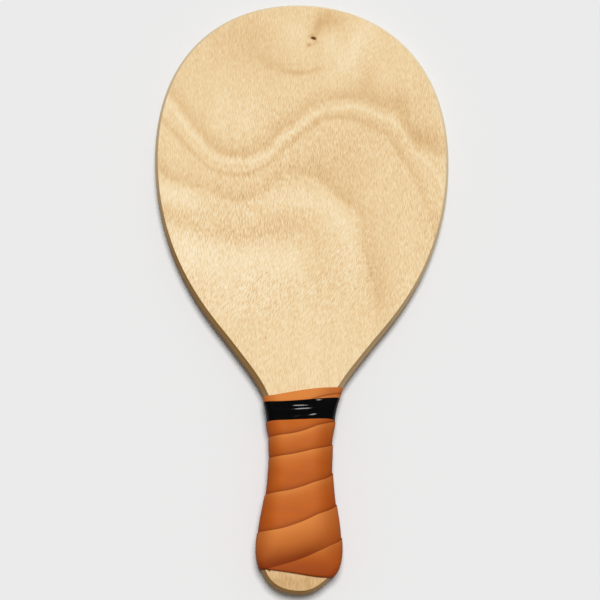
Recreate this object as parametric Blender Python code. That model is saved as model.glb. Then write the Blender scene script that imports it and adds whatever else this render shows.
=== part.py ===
# Wooden beach paddle: a seven-ply blade, a cheek on each side of its handle, a wound grip and a band of tape
import bisect
import math

import bmesh
import bpy
from mathutils import Vector, kdtree
from mathutils.geometry import interpolate_bezier

# Plan of the blade in metres. A station is a distance along the paddle from the butt end.
PADDLE_LENGTH = 0.440
HEAD_WIDTH = 0.215
HEAD_FROM_TIP = 0.1215
FLANK_WIDTH = 0.104
FLANK_STATION = 0.1755
FLANK_SLOPE = math.radians(37.0)
NECK_WIDTH = 0.0402
NECK_STATION = 0.093
PALM_WIDTH = 0.0564
PALM_STATION = 0.030

# Fullness of the outline on each side of its points, as a share of the step to the next point
TIP_FULLNESS = 0.54
HEAD_FULLNESS = (0.67, 0.57)
FLANK_FULLNESS = (0.13, 0.54)
NECK_FULLNESS = (0.53, 0.42)
PALM_FULLNESS = (0.32, 0.45)
BUTT_FULLNESS = 0.80
OUTLINE_STEPS = 8

# Plywood, with the glue between its layers
FACE_VENEER = 0.0009
CROSSBAND = 0.0019
LONG_PLY = 0.0018
CORE_PLY = 0.0022
GLUE_LINE = 0.0001
EDGE_BEVEL = 0.0020

# Cheeks that thicken the handle
CHEEK_HEIGHT = 0.0050
CHEEK_EDGE = 0.0004
CHEEK_ROUND = 0.013
CHEEK_SET_IN = 0.0005
CHEEK_TUCK = 0.0020
CHEEK_BUTT_RAMP = 0.032
CHEEK_THROAT_RAMP = 0.040
CHEEK_COLUMNS = 10
CHEEK_ROWS = 16

# Grip: a strip wound down from the throat, each turn lapping the one above it
GRIP_BUTT_STATION = 0.0139
GRIP_LENGTH = 0.1262
GRIP_TOP_LEAN = 0.0032
GRIP_BUTT_LEAN = -0.0022
GRIP_THICKNESS = 0.0010
GRIP_BEDDING = 0.0006
GRIP_LAP = 0.004
GRIP_LAP_GAP = 0.0005
GRIP_FIRST_CREASE = 0.0086
GRIP_FIRST_PITCH = 0.0188
GRIP_PITCH_GAIN = 0.0017
GRIP_TURN_LEAN = 0.0007
GRIP_LEAST_WIDTH = 0.003
GRIP_CLIMB = 0.25
GRIP_BANDS = 5
LOOP_STEPS = 24

# Black tape over the top of the winding
FINISH_FROM_TOP = 0.0080
FINISH_WIDTH = 0.0135
FINISH_THICKNESS = 0.0004
FINISH_CLEARANCE = 0.0003

COLLECTION_NAME = "beach_paddle"

# Layers from the front face to the back face
PLIES = (
    ("front_face_veneer", FACE_VENEER, "pale_veneer", (0.80, 0.60, 0.36)),
    ("front_crossband", CROSSBAND, "front_brown_ply", (0.34, 0.20, 0.09)),
    ("front_long_ply", LONG_PLY, "front_tan_ply", (0.46, 0.30, 0.15)),
    ("core_ply", CORE_PLY, "core_brown_ply", (0.34, 0.20, 0.09)),
    ("back_long_ply", LONG_PLY, "back_tan_ply", (0.46, 0.30, 0.15)),
    ("back_crossband", CROSSBAND, "back_brown_ply", (0.34, 0.20, 0.09)),
    ("back_face_veneer", FACE_VENEER, "back_pale_veneer", (0.80, 0.60, 0.36)),
)
BLADE_THICKNESS = sum(ply[1] for ply in PLIES) + GLUE_LINE * (len(PLIES) - 1)
RIM_BEVEL = min(EDGE_BEVEL, 0.45 * BLADE_THICKNESS)
BUTT_Y = -PADDLE_LENGTH / 2


def clear_scene():
    for obj in list(bpy.data.objects):
        bpy.data.objects.remove(obj, do_unlink=True)


def principled(name, colour, roughness):
    material = bpy.data.materials.new(name)
    material.use_nodes = True
    shader = material.node_tree.nodes["Principled BSDF"]
    shader.inputs["Base Color"].default_value = (*colour, 1.0)
    shader.inputs["Roughness"].default_value = roughness
    shader.inputs["Metallic"].default_value = 0.0
    return material


def finish_object(name, shape, material, holder):
    """Turns a bmesh into a named object with its material, hung on the paddle's empty."""
    bmesh.ops.recalc_face_normals(shape, faces=shape.faces)
    mesh = bpy.data.meshes.new(name)
    shape.to_mesh(mesh)
    shape.free()
    mesh.materials.append(material)
    mesh.shade_smooth()
    mesh.set_sharp_from_angle(angle=math.radians(35.0))
    obj = bpy.data.objects.new(name, mesh)
    bpy.data.collections[COLLECTION_NAME].objects.link(obj)
    obj.parent = holder
    return obj


def smooth_step(value):
    value = min(1.0, max(0.0, value))
    return value * value * (3.0 - 2.0 * value)


# Blade


def outline_knots():
    """Right-hand outline from the tip to the butt: (point, handle before it, handle after it)."""
    points = [
        Vector((0.0, PADDLE_LENGTH, 0.0)),
        Vector((HEAD_WIDTH / 2, PADDLE_LENGTH - HEAD_FROM_TIP, 0.0)),
        Vector((FLANK_WIDTH / 2, FLANK_STATION, 0.0)),
        Vector((NECK_WIDTH / 2, NECK_STATION, 0.0)),
        Vector((PALM_WIDTH / 2, PALM_STATION, 0.0)),
        Vector((0.0, 0.0, 0.0)),
    ]
    up = Vector((0.0, 1.0, 0.0))
    out = Vector((1.0, 0.0, 0.0))
    leans = [out, up, Vector((math.sin(FLANK_SLOPE), math.cos(FLANK_SLOPE), 0.0)), up, up, out]
    fullness = [
        (0.0, TIP_FULLNESS),
        HEAD_FULLNESS,
        FLANK_FULLNESS,
        NECK_FULLNESS,
        PALM_FULLNESS,
        (BUTT_FULLNESS, 0.0),
    ]
    drops = [points[i].y - points[i + 1].y for i in range(len(points) - 1)]
    lift = Vector((0.0, BUTT_Y, 0.0))
    knots = []
    for i, point in enumerate(points):
        before, after = fullness[i]
        if leans[i] is out:
            side = points[1 if i == 0 else i - 1].x
            reach_in = side * before * out
            reach_out = side * after * out
        else:
            reach_in = drops[i - 1] * before * leans[i]
            reach_out = -drops[i] * after * leans[i]
        knots.append((point + lift, point + reach_in + lift, point + reach_out + lift))
    return knots


def mirrored(vector):
    return Vector((-vector.x, vector.y, vector.z))


def half_outline():
    """The right-hand outline as (y, x) pairs, butt to tip, at the curve's own steps."""
    knots = outline_knots()
    pairs = []
    for (start, _, leave), (end, arrive, _) in zip(knots, knots[1:]):
        pairs += interpolate_bezier(start, leave, arrive, end, OUTLINE_STEPS + 1)[:-1]
    pairs.append(knots[-1][0])
    return [(point.y, point.x) for point in reversed(pairs)]


HALF_OUTLINE = half_outline()
OUTLINE_Y = [pair[0] for pair in HALF_OUTLINE]


def half_width(station):
    y = station + BUTT_Y
    i = min(max(bisect.bisect_right(OUTLINE_Y, y), 1), len(OUTLINE_Y) - 1)
    (y0, x0), (y1, x1) = HALF_OUTLINE[i - 1], HALF_OUTLINE[i]
    share = (y - y0) / (y1 - y0)
    return x0 + (x1 - x0) * min(1.0, max(0.0, share))


def blade_blank():
    """The whole board as one mesh: the outline extruded, with its rim bevelled on both faces."""
    right = outline_knots()
    left = [(mirrored(p), mirrored(after), mirrored(before)) for p, before, after in right[-2:0:-1]]
    knots = right + left
    tip, _, tip_after = right[0]
    knots[0] = (tip, mirrored(tip_after), tip_after)
    butt, butt_before, _ = right[-1]
    knots[len(right) - 1] = (butt, butt_before, mirrored(butt_before))

    curve = bpy.data.curves.new("blade_outline", "CURVE")
    curve.dimensions = "2D"
    curve.fill_mode = "BOTH"
    curve.extrude = BLADE_THICKNESS / 2
    curve.resolution_u = OUTLINE_STEPS
    spline = curve.splines.new("BEZIER")
    spline.bezier_points.add(len(knots) - 1)
    spline.use_cyclic_u = True
    for bezier, (point, before, after) in zip(spline.bezier_points, knots):
        bezier.handle_left_type = "FREE"
        bezier.handle_right_type = "FREE"
        bezier.co = point
        bezier.handle_left = before
        bezier.handle_right = after
    guide = bpy.data.objects.new("blade_outline", curve)
    bpy.context.scene.collection.objects.link(guide)
    graph = bpy.context.evaluated_depsgraph_get()
    mesh = bpy.data.meshes.new_from_object(guide.evaluated_get(graph))
    bpy.data.objects.remove(guide, do_unlink=True)

    blank = bmesh.new()
    blank.from_mesh(mesh)
    bpy.data.meshes.remove(mesh)
    bmesh.ops.remove_doubles(blank, verts=blank.verts, dist=1e-6)
    flat = [f for f in blank.faces if abs(f.normal.z) > 0.5]
    bmesh.ops.dissolve_faces(blank, faces=[f for f in flat if f.normal.z > 0], use_verts=False)
    flat = [f for f in blank.faces if f.normal.z < -0.5]
    bmesh.ops.dissolve_faces(blank, faces=flat, use_verts=False)
    rim = [e for e in blank.edges if len(e.link_faces) == 2 and e.calc_face_angle() > math.radians(60.0)]
    bmesh.ops.bevel(
        blank, geom=rim, offset=RIM_BEVEL, offset_type="OFFSET", affect="EDGES", segments=1, profile=0.5,
        material=-1, clamp_overlap=False,
    )
    return blank


def make_plies(holder):
    blank = blade_blank()
    top = BLADE_THICKNESS / 2
    for name, thickness, paint, colour in PLIES:
        ply = blank.copy()
        for height, outward in ((top, 1.0), (top - thickness, -1.0)):
            if abs(height) > BLADE_THICKNESS / 2 - GLUE_LINE / 2:
                continue
            cut = bmesh.ops.bisect_plane(
                ply, geom=ply.verts[:] + ply.edges[:] + ply.faces[:], dist=1e-7,
                plane_co=(0.0, 0.0, height), plane_no=(0.0, 0.0, outward), clear_outer=True,
            )
            edges = [item for item in cut["geom_cut"] if isinstance(item, bmesh.types.BMEdge)]
            bmesh.ops.contextual_create(ply, geom=edges)
        finish_object(name, ply, principled(paint, colour, 0.55), holder)
        top -= thickness + GLUE_LINE
    blank.free()


# Handle section, shared by the cheeks, the grip and the tape

GRIP_TOP_STATION = GRIP_BUTT_STATION + GRIP_LENGTH
CHEEK_BUTT_STATION = GRIP_BUTT_STATION + abs(GRIP_BUTT_LEAN) + CHEEK_TUCK
CHEEK_TOP_STATION = GRIP_TOP_STATION - abs(GRIP_TOP_LEAN) - CHEEK_TUCK


def cheek_height(station):
    rise = smooth_step((station - GRIP_BUTT_STATION) / CHEEK_BUTT_RAMP)
    fall = smooth_step((GRIP_TOP_STATION - station) / CHEEK_THROAT_RAMP)
    return CHEEK_EDGE + (CHEEK_HEIGHT - CHEEK_EDGE) * rise * fall


def section_sizes(station):
    """Half width, half height, and the width and height of the rounded corner of the bare handle."""
    width = half_width(station)
    raised = cheek_height(station)
    height = BLADE_THICKNESS / 2 + GLUE_LINE + raised
    share = (raised - CHEEK_EDGE) / (CHEEK_HEIGHT - CHEEK_EDGE)
    corner = RIM_BEVEL + (CHEEK_ROUND - RIM_BEVEL) * share
    corner = min(max(corner, RIM_BEVEL), 0.9 * width)
    return width, height, corner, height - (BLADE_THICKNESS / 2 - RIM_BEVEL)


def section_height(station, x):
    """How high the bare handle stands at a distance x from its middle."""
    width, height, corner, corner_height = section_sizes(station)
    past = max(0.0, abs(x) - (width - corner)) / corner
    return height - corner_height * (1.0 - math.sqrt(max(0.0, 1.0 - past * past)))


def section_loop(station):
    """Points and outward normals round the bare handle, from the right side over the front, as (x, z)."""
    width, height, corner, corner_height = section_sizes(station)
    per_quarter = LOOP_STEPS // 4
    quarter = [((width, 0.0), (1.0, 0.0))]
    for i in range(per_quarter - 1):
        turn = math.pi / 2 * i / (per_quarter - 2)
        place = (width - corner + corner * math.cos(turn), height - corner_height * (1.0 - math.sin(turn)))
        normal = Vector((math.cos(turn) / corner, math.sin(turn) / corner_height)).normalized()
        quarter.append((place, (normal.x, normal.y)))
    top = [((0.0, height), (0.0, 1.0))]
    far = [((-x, z), (-nx, nz)) for (x, z), (nx, nz) in reversed(quarter[1:])]
    front = quarter + top + far
    back = [((-x, -z), (-nx, -nz)) for (x, z), (nx, nz) in front]
    return front + back


def on_section(loop, index, station, offset):
    (x, z), (nx, nz) = loop[index % LOOP_STEPS]
    return Vector((x + nx * offset, station + BUTT_Y, z + nz * offset))


def make_cheek(name, side, holder):
    """A domed block on one face of the handle, flat underneath, feathered out inside the grip's slanting ends."""
    base = BLADE_THICKNESS / 2 + GLUE_LINE
    inset = RIM_BEVEL + CHEEK_SET_IN
    shape = bmesh.new()
    grid = bmesh.ops.create_grid(shape, x_segments=CHEEK_COLUMNS, y_segments=CHEEK_ROWS, size=1.0)
    for vert in grid["verts"]:
        station = CHEEK_BUTT_STATION + (CHEEK_TOP_STATION - CHEEK_BUTT_STATION) * (vert.co.y + 1.0) / 2
        reach = half_width(station) - inset
        vert.co = Vector((math.sin(vert.co.x * math.pi / 2) * reach, station + BUTT_Y, base))
    lifted = bmesh.ops.extrude_face_region(shape, geom=shape.faces[:])
    for vert in [item for item in lifted["geom"] if isinstance(item, bmesh.types.BMVert)]:
        vert.co.z = section_height(vert.co.y - BUTT_Y, vert.co.x)
    bmesh.ops.scale(shape, vec=(1.0, 1.0, side), verts=shape.verts)
    return finish_object(name, shape, principled(name + "_wood", (0.60, 0.42, 0.23), 0.6), holder)


# Grip


def loop_shares():
    """Share of a turn at each step round the handle, measured along the section at the grip's middle."""
    loop = section_loop(GRIP_BUTT_STATION + GRIP_LENGTH / 2)
    points = [Vector(place) for place, _ in loop]
    lengths = [(points[(i + 1) % LOOP_STEPS] - points[i]).length for i in range(LOOP_STEPS)]
    total = sum(lengths)
    return [sum(lengths[:i]) / total for i in range(LOOP_STEPS)]


LOOP_SHARES = loop_shares()
FRONT_SHARE = LOOP_SHARES[LOOP_STEPS // 4]


def turn_at(step):
    """Turns from the first crease on the front, where the strip crosses the middle of the handle."""
    return step // LOOP_STEPS + LOOP_SHARES[step % LOOP_STEPS] - FRONT_SHARE


def lean_at(turn):
    """1 on the right side of the handle, -1 on the left."""
    return math.cos(2.0 * math.pi * (turn + FRONT_SHARE))


def crease_station(turn):
    gained = GRIP_PITCH_GAIN * turn * (turn - 1.0) / 2
    lean = GRIP_TURN_LEAN * max(0.0, turn) * lean_at(turn)
    return GRIP_TOP_STATION - GRIP_FIRST_CREASE - GRIP_FIRST_PITCH * turn - gained + lean


def grip_edges(turn):
    """Lower and upper edge of the strip, trimmed to the ends of the grip."""
    highest = GRIP_TOP_STATION + GRIP_TOP_LEAN * lean_at(turn)
    lowest = GRIP_BUTT_STATION + GRIP_BUTT_LEAN * lean_at(turn)
    return max(crease_station(turn + 1.0) - GRIP_LAP, lowest), min(crease_station(turn), highest)


def grip_steps():
    """Every step at which the strip is wide enough to be laid."""
    steps = range(-2 * LOOP_STEPS, 60 * LOOP_STEPS)
    first = next(s for s in steps if grip_edges(turn_at(s))[1] - grip_edges(turn_at(s))[0] > GRIP_LEAST_WIDTH)
    last = first
    while grip_edges(turn_at(last + 1))[1] - grip_edges(turn_at(last + 1))[0] > GRIP_LEAST_WIDTH:
        last += 1
    return list(range(first, last + 1))


GRIP_STEPS = grip_steps()
GRIP_LIFT = GRIP_THICKNESS + GRIP_LAP_GAP


def grip_bedding(turn, station):
    """Height of the strip's underside over the handle: on the wood, or riding on the turn above it."""
    below_crease = crease_station(turn) - station
    span = max(crease_station(turn) - crease_station(turn + 1.0) - GRIP_LAP, GRIP_LAP)
    riding = 1.0 - min(1.0, max(0.0, below_crease - GRIP_LAP) / span)
    climb = smooth_step((turn - turn_at(GRIP_STEPS[0]) - 1.0 + 2 * GRIP_CLIMB) / GRIP_CLIMB)
    return GRIP_BEDDING + GRIP_LIFT * riding * climb


def grip_stations(turn):
    """Stations across the strip, from its lower edge to its upper edge, with the laps on their own lines."""
    low, high = grip_edges(turn)
    width = high - low
    share = 0.1 * width
    lap_top = min(max(crease_station(turn) - GRIP_LAP, low + 3 * share), high - share)
    lap_low = min(max(crease_station(turn + 1.0), low + share), lap_top - share)
    between = [lap_low + (lap_top - lap_low) * i / (GRIP_BANDS - 2) for i in range(GRIP_BANDS - 1)]
    return [low] + between + [high]


def grip_section(step):
    """The strip's closed outline at one step: its underside going up the handle, then its face coming down."""
    turn = turn_at(step)
    stations = grip_stations(turn)
    under = [(s, grip_bedding(turn, s)) for s in stations]
    over = [(s, height + GRIP_THICKNESS) for s, height in reversed(under)]
    return under + over


def least_gap(sections):
    """Least distance between points of the strip that lie on different turns."""
    points = []
    for step, ring in sections:
        for a, b in zip(ring, ring[1:] + ring[:1]):
            points += [(step, a.lerp(b, k / 8)) for k in range(8)]
    tree = kdtree.KDTree(len(points))
    for i, (_, point) in enumerate(points):
        tree.insert(point, i)
    tree.balance()
    reach = 4 * GRIP_LIFT
    least = reach
    for step, point in points:
        for _, other, distance in tree.find_range(point, reach):
            if abs(points[other][0] - step) > LOOP_STEPS // 2:
                least = min(least, distance)
    return least


def make_grip(holder):
    shape = bmesh.new()
    sections = []
    rings = []
    for step in GRIP_STEPS:
        places = [
            on_section(section_loop(station), step, station, offset) for station, offset in grip_section(step)
        ]
        sections.append((step, places))
        rings.append([shape.verts.new(place) for place in places])
    for ring, following in zip(rings, rings[1:]):
        for i in range(len(ring)):
            j = (i + 1) % len(ring)
            shape.faces.new((ring[i], ring[j], following[j], following[i]))
    shape.faces.new(rings[0])
    shape.faces.new(rings[-1])
    turns = (len(GRIP_STEPS) - 1) / LOOP_STEPS
    print(f"grip tape: {turns:.2f} turns, least gap to itself {least_gap(sections) * 1000:.2f} mm")
    return finish_object("grip_tape", shape, principled("tan_grip", (0.53, 0.16, 0.035), 0.45), holder)


def make_finishing_tape(holder):
    top = GRIP_TOP_STATION - FINISH_FROM_TOP
    inside = GRIP_BEDDING + GRIP_LIFT + GRIP_THICKNESS + FINISH_CLEARANCE
    outside = inside + FINISH_THICKNESS
    corners = ((top, inside), (top, outside), (top - FINISH_WIDTH, outside), (top - FINISH_WIDTH, inside))
    shape = bmesh.new()
    loops = []
    for station, offset in corners:
        loop = section_loop(station)
        loops.append([shape.verts.new(on_section(loop, i, station, offset)) for i in range(LOOP_STEPS)])
    for k in range(len(corners)):
        near, far = loops[k], loops[(k + 1) % len(corners)]
        for i in range(LOOP_STEPS):
            j = (i + 1) % LOOP_STEPS
            shape.faces.new((near[i], near[j], far[j], far[i]))
    return finish_object("finishing_tape", shape, principled("black_tape", (0.012, 0.012, 0.014), 0.25), holder)


def main():
    clear_scene()
    collection = bpy.data.collections.new(COLLECTION_NAME)
    bpy.context.scene.collection.children.link(collection)
    holder = bpy.data.objects.new("paddle_centre", None)
    collection.objects.link(holder)
    make_plies(holder)
    make_cheek("front_handle_cheek", 1.0, holder)
    make_cheek("back_handle_cheek", -1.0, holder)
    make_grip(holder)
    make_finishing_tape(holder)
    lowest = min(v.co.z for obj in collection.objects if obj.data for v in obj.data.vertices)
    holder.location = (0.0, 0.0, -lowest)


main()
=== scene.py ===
import bisect
import math

import bmesh
import bpy
from mathutils import Matrix, Quaternion, Vector
from mathutils.geometry import interpolate_bezier


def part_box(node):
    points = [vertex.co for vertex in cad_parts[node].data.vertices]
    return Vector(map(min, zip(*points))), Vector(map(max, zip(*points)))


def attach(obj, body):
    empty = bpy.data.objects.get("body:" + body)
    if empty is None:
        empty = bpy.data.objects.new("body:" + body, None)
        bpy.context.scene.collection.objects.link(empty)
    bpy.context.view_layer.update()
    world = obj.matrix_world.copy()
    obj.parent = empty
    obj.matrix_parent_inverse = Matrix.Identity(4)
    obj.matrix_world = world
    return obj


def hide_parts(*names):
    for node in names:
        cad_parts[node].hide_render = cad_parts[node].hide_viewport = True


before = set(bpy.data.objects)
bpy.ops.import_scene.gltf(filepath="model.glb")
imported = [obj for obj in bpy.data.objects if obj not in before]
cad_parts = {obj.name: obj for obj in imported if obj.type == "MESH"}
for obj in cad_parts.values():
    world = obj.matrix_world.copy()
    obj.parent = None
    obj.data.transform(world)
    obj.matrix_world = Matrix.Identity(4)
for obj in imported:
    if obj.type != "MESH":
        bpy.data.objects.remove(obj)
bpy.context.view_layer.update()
print("frame loaded,", len(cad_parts), "solids")

scene = bpy.context.scene
scene.view_settings.view_transform = "Standard"
mm = 0.001


# small helpers

def fromScreen(*channels):
    # a colour picked on screen, as linear light
    shares = [channel / 255 for channel in channels]
    return tuple(s / 12.92 if s <= 0.04045 else ((s + 0.055) / 1.055) ** 2.4 for s in shares)


def smoothStep(value):
    value = min(1.0, max(0.0, value))
    return value * value * (3.0 - 2.0 * value)


def riseFrom(value, start, run):
    # 0 up to the start, 1 once past the run
    return smoothStep((value - start) / run)


def fallTo(value, end, run):
    # 1 until the run before the end, 0 from the end on
    return smoothStep((end - value) / run)


def roundOver(value):
    # quarter circle, 0 at an edge and 1 once past it
    value = min(1.0, max(0.0, value))
    return math.sqrt(1.0 - (1.0 - value) ** 2)


def lineThrough(knots, where):
    # smooth line through (place, value) pairs
    i = min(max(bisect.bisect_right([k[0] for k in knots], where), 1), len(knots) - 1)
    (x0, y0), (x1, y1) = knots[i - 1], knots[i]
    before = knots[max(i - 2, 0)]
    after = knots[min(i + 1, len(knots) - 1)]
    step = x1 - x0
    lean0 = (y1 - before[1]) / (x1 - before[0])
    lean1 = (after[1] - y0) / (after[0] - x0)
    t = (where - x0) / step
    return (
        y0 * (2 * t ** 3 - 3 * t ** 2 + 1) + lean0 * step * (t ** 3 - 2 * t ** 2 + t)
        + y1 * (3 * t ** 2 - 2 * t ** 3) + lean1 * step * (t ** 3 - t ** 2)
    )


def asObject(name, shape, material, sharpAngle=12.0):
    mesh = bpy.data.meshes.new(name)
    shape.to_mesh(mesh)
    shape.free()
    mesh.shade_smooth()
    mesh.set_sharp_from_angle(angle=math.radians(sharpAngle))
    obj = bpy.data.objects.new(name, mesh)
    scene.collection.objects.link(obj)
    obj.data.materials.append(material)
    return obj


def asPiece(obj, node):
    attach(obj, "root")
    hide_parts(node)
    return obj


def newMaterial(name):
    material = bpy.data.materials.new(name)
    material.use_nodes = True
    tree = material.node_tree
    coords = addNode(tree, "ShaderNodeTexCoord").outputs["Object"]
    return material, tree, tree.nodes["Principled BSDF"], coords


def feed(tree, socket, value):
    if isinstance(value, bpy.types.NodeSocket):
        tree.links.new(value, socket)
    else:
        socket.default_value = value


def addNode(tree, kind, inputs=None, **settings):
    made = tree.nodes.new(kind)
    for key, value in settings.items():
        setattr(made, key, value)
    for key, value in (inputs or {}).items():
        feed(tree, made.inputs[key], value)
    return made


def calc(tree, operation, *values, kind="ShaderNodeMath"):
    made = addNode(tree, kind, operation=operation)
    for socket, value in zip(made.inputs, values):
        feed(tree, socket, value)
    return made.outputs[0]


def calcVector(tree, operation, *values):
    return calc(tree, operation, *values, kind="ShaderNodeVectorMath")


def remap(tree, value, fromLow, fromHigh, toLow, toHigh, smooth=False):
    steps = "SMOOTHSTEP" if smooth else "LINEAR"
    made = addNode(tree, "ShaderNodeMapRange", {"Value": value}, interpolation_type=steps)
    for name, number in zip(("From Min", "From Max", "To Min", "To Max"), (fromLow, fromHigh, toLow, toHigh)):
        made.inputs[name].default_value = number
    return made.outputs["Result"]


def noiseOf(tree, place, scale, detail=2.0, roughness=0.5, stretch=(1.0, 1.0, 1.0), turn=(0.0, 0.0, 0.0),
            offset=(0.0, 0.0, 0.0)):
    if stretch != (1.0, 1.0, 1.0) or any(turn) or any(offset):
        mapping = {"Vector": place, "Scale": stretch, "Rotation": turn, "Location": offset}
        place = addNode(tree, "ShaderNodeMapping", mapping).outputs[0]
    settings = {"Vector": place, "Scale": scale, "Detail": detail, "Roughness": roughness}
    return addNode(tree, "ShaderNodeTexNoise", settings).outputs[0]


def rampOf(tree, value, stops):
    made = addNode(tree, "ShaderNodeValToRGB", {"Fac": value})
    elements = made.color_ramp.elements
    while len(elements) < len(stops):
        elements.new(0.5)
    for element, (place, colour) in zip(elements, stops):
        element.position = place
        element.color = (*colour, 1.0)
    return made.outputs[0]


def mixColour(tree, share, first, second, blend="MIX"):
    made = addNode(tree, "ShaderNodeMix", data_type="RGBA", blend_type=blend, clamp_factor=True)
    feed(tree, made.inputs[0], share)
    for socket, colour in ((made.inputs[6], first), (made.inputs[7], second)):
        feed(tree, socket, colour if isinstance(colour, bpy.types.NodeSocket) else (*colour, 1.0))
    return made.outputs[2]


def fadeOut(tree, square):
    # 1 in the middle of a spot or stroke, falling off with the square of the distance
    return calc(tree, "EXPONENT", calc(tree, "MULTIPLY", square, -1.0))


def finishSurface(tree, shader, look, colour, mask, spread=(0.3, 0.7), relief=None):
    # colour, roughness led by a mask, sheen, and fine relief where there is one
    tree.links.new(colour, shader.inputs["Base Color"])
    tree.links.new(remap(tree, mask, *spread, *look["roughness"]), shader.inputs["Roughness"])
    shader.inputs["Specular IOR Level"].default_value = look["specular"]
    if relief is not None:
        strength, distance = look["bump"]
        bump = addNode(tree, "ShaderNodeBump", {"Height": relief, "Strength": strength, "Distance": distance})
        tree.links.new(bump.outputs[0], shader.inputs["Normal"])


def newGroup(name, inputs, outputs):
    group = bpy.data.node_groups.new(name, "ShaderNodeTree")
    for title, kind, default in inputs:
        socket = group.interface.new_socket(name=title, in_out="INPUT", socket_type=kind)
        if default is not None:
            socket.default_value = default
    for title, kind in outputs:
        group.interface.new_socket(name=title, in_out="OUTPUT", socket_type=kind)
    return group, group.nodes.new("NodeGroupInput"), group.nodes.new("NodeGroupOutput")


# wood: soft spots, grain lines and pores shared by the wooden pieces

def makeSoftSpotGroup():
    group, given, made = newGroup(
        "softSpot",
        [
            ("Place", "NodeSocketVector", None), ("Middle", "NodeSocketVector", (0.0, 0.0, 0.0)),
            ("Reach", "NodeSocketVector", (10.0, 10.0, 10.0)), ("Turn", "NodeSocketFloat", 0.0),
            ("Amount", "NodeSocketFloat", 0.0),
        ],
        [("Tone", "NodeSocketFloat")],
    )
    away = calcVector(group, "SUBTRACT", given.outputs["Place"], given.outputs["Middle"])
    turned = addNode(
        group, "ShaderNodeVectorRotate", {"Vector": away, "Angle": given.outputs["Turn"]}, rotation_type="Z_AXIS"
    ).outputs[0]
    scaled = calcVector(group, "DIVIDE", turned, given.outputs["Reach"])
    parts = addNode(group, "ShaderNodeSeparateXYZ", {"Vector": scaled})
    square = calc(group, "ADD", calc(group, "MULTIPLY", parts.outputs[0], parts.outputs[0]),
                  calc(group, "MULTIPLY", parts.outputs[1], parts.outputs[1]))
    tone = calc(group, "MULTIPLY", fadeOut(group, square), given.outputs["Amount"])
    group.links.new(tone, made.inputs["Tone"])
    return group


poreSet = {
    # upright and leaning strokes: lean in degrees, stretch of the noise, offset
    "layers": ((2.0, (2.5, 0.29, 1.0), 0.0), (22.0, (2.7, 0.31, 1.0), 31.0)),
    # the noise is cut aslant, so that its rows do not show
    "cut": (0.7, 0.5, 0.6), "detail": 0.7, "roughness": 0.55,
}


def makePoreGroup():
    # short pores along the length of the wood, upright in most places and leaning where the fibres drift
    group, given, made = newGroup(
        "poreStrokes",
        [
            ("Place", "NodeSocketVector", None), ("Drift", "NodeSocketFloat", 0.0),
            ("Depth", "NodeSocketFloat", 1.0),
        ],
        [("Strokes", "NodeSocketFloat"), ("Height", "NodeSocketFloat")],
    )
    layers = []
    for lean, stretch, offset in poreSet["layers"]:
        turned = addNode(
            group, "ShaderNodeVectorRotate", {"Vector": given.outputs["Place"], "Angle": math.radians(lean)},
            rotation_type="Z_AXIS",
        ).outputs[0]
        stroke = noiseOf(group, turned, 1.0, poreSet["detail"], poreSet["roughness"], stretch, poreSet["cut"],
                         (offset, 7.0, 3.0))
        layers.append(calc(group, "SUBTRACT", stroke, 0.5))
    drift = calc(group, "MINIMUM", given.outputs["Drift"], 1.0)
    upright = calc(group, "MULTIPLY", layers[0], calc(group, "SUBTRACT", 1.0, drift))
    both = calc(group, "MULTIPLY_ADD", layers[1], drift, upright)
    group.links.new(calc(group, "MULTIPLY", both, given.outputs["Depth"]), made.inputs["Strokes"])
    group.links.new(calc(group, "MINIMUM", both, 0.0), made.inputs["Height"])
    return group


paintedRimLightSpans = {
    # painted light and shade on the sawn edge: stretches in metres from the paddle's middle, and amounts
    "head": (-0.03, 0.21), "throat": (-0.06, -0.095), "underGrip": (-0.12, -0.15), "throatLight": 0.16,
    "halfSpan": 0.05, "leftShade": -0.19, "rightLight": 0.17, "evenThroat": (-0.06, -0.09),
}


def makePaintedRimLightGroup():
    # painted light and shade on the sawn edges: darker towards the hand, more on the left, paler round the head
    # and on the right
    group, given, made = newGroup(
        "paintedRimLight", [("Place", "NodeSocketVector", None)], [("Lit", "NodeSocketFloat")]
    )
    parts = addNode(group, "ShaderNodeSeparateXYZ", {"Vector": given.outputs["Place"]})
    across, along = parts.outputs[0], parts.outputs[1]
    head = remap(group, along, *paintedRimLightSpans["head"], 0.0, 1.0)
    throat = calc(group, "MINIMUM", remap(group, along, *paintedRimLightSpans["throat"], 0.0, paintedRimLightSpans["throatLight"]),
                  remap(group, along, *paintedRimLightSpans["underGrip"], paintedRimLightSpans["throatLight"], 0.0))
    span, left = paintedRimLightSpans["halfSpan"], paintedRimLightSpans["leftShade"]
    side = remap(group, across, -span, span, left, paintedRimLightSpans["rightLight"], True)
    side = calc(group, "MAXIMUM", side, remap(group, along, *paintedRimLightSpans["evenThroat"], left, 0.0))
    group.links.new(calc(group, "ADD", calc(group, "ADD", head, throat), side), made.inputs["Lit"])
    return group


# share of painted light on a sawn edge
def paintedRimLightShare(tree, coords):
    return addNode(tree, "ShaderNodeGroup", {"Place": coords}, node_tree=paintedRimLight).outputs["Lit"]


softSpot = makeSoftSpotGroup()
poreStrokes = makePoreGroup()
paintedRimLight = makePaintedRimLightGroup()

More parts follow.
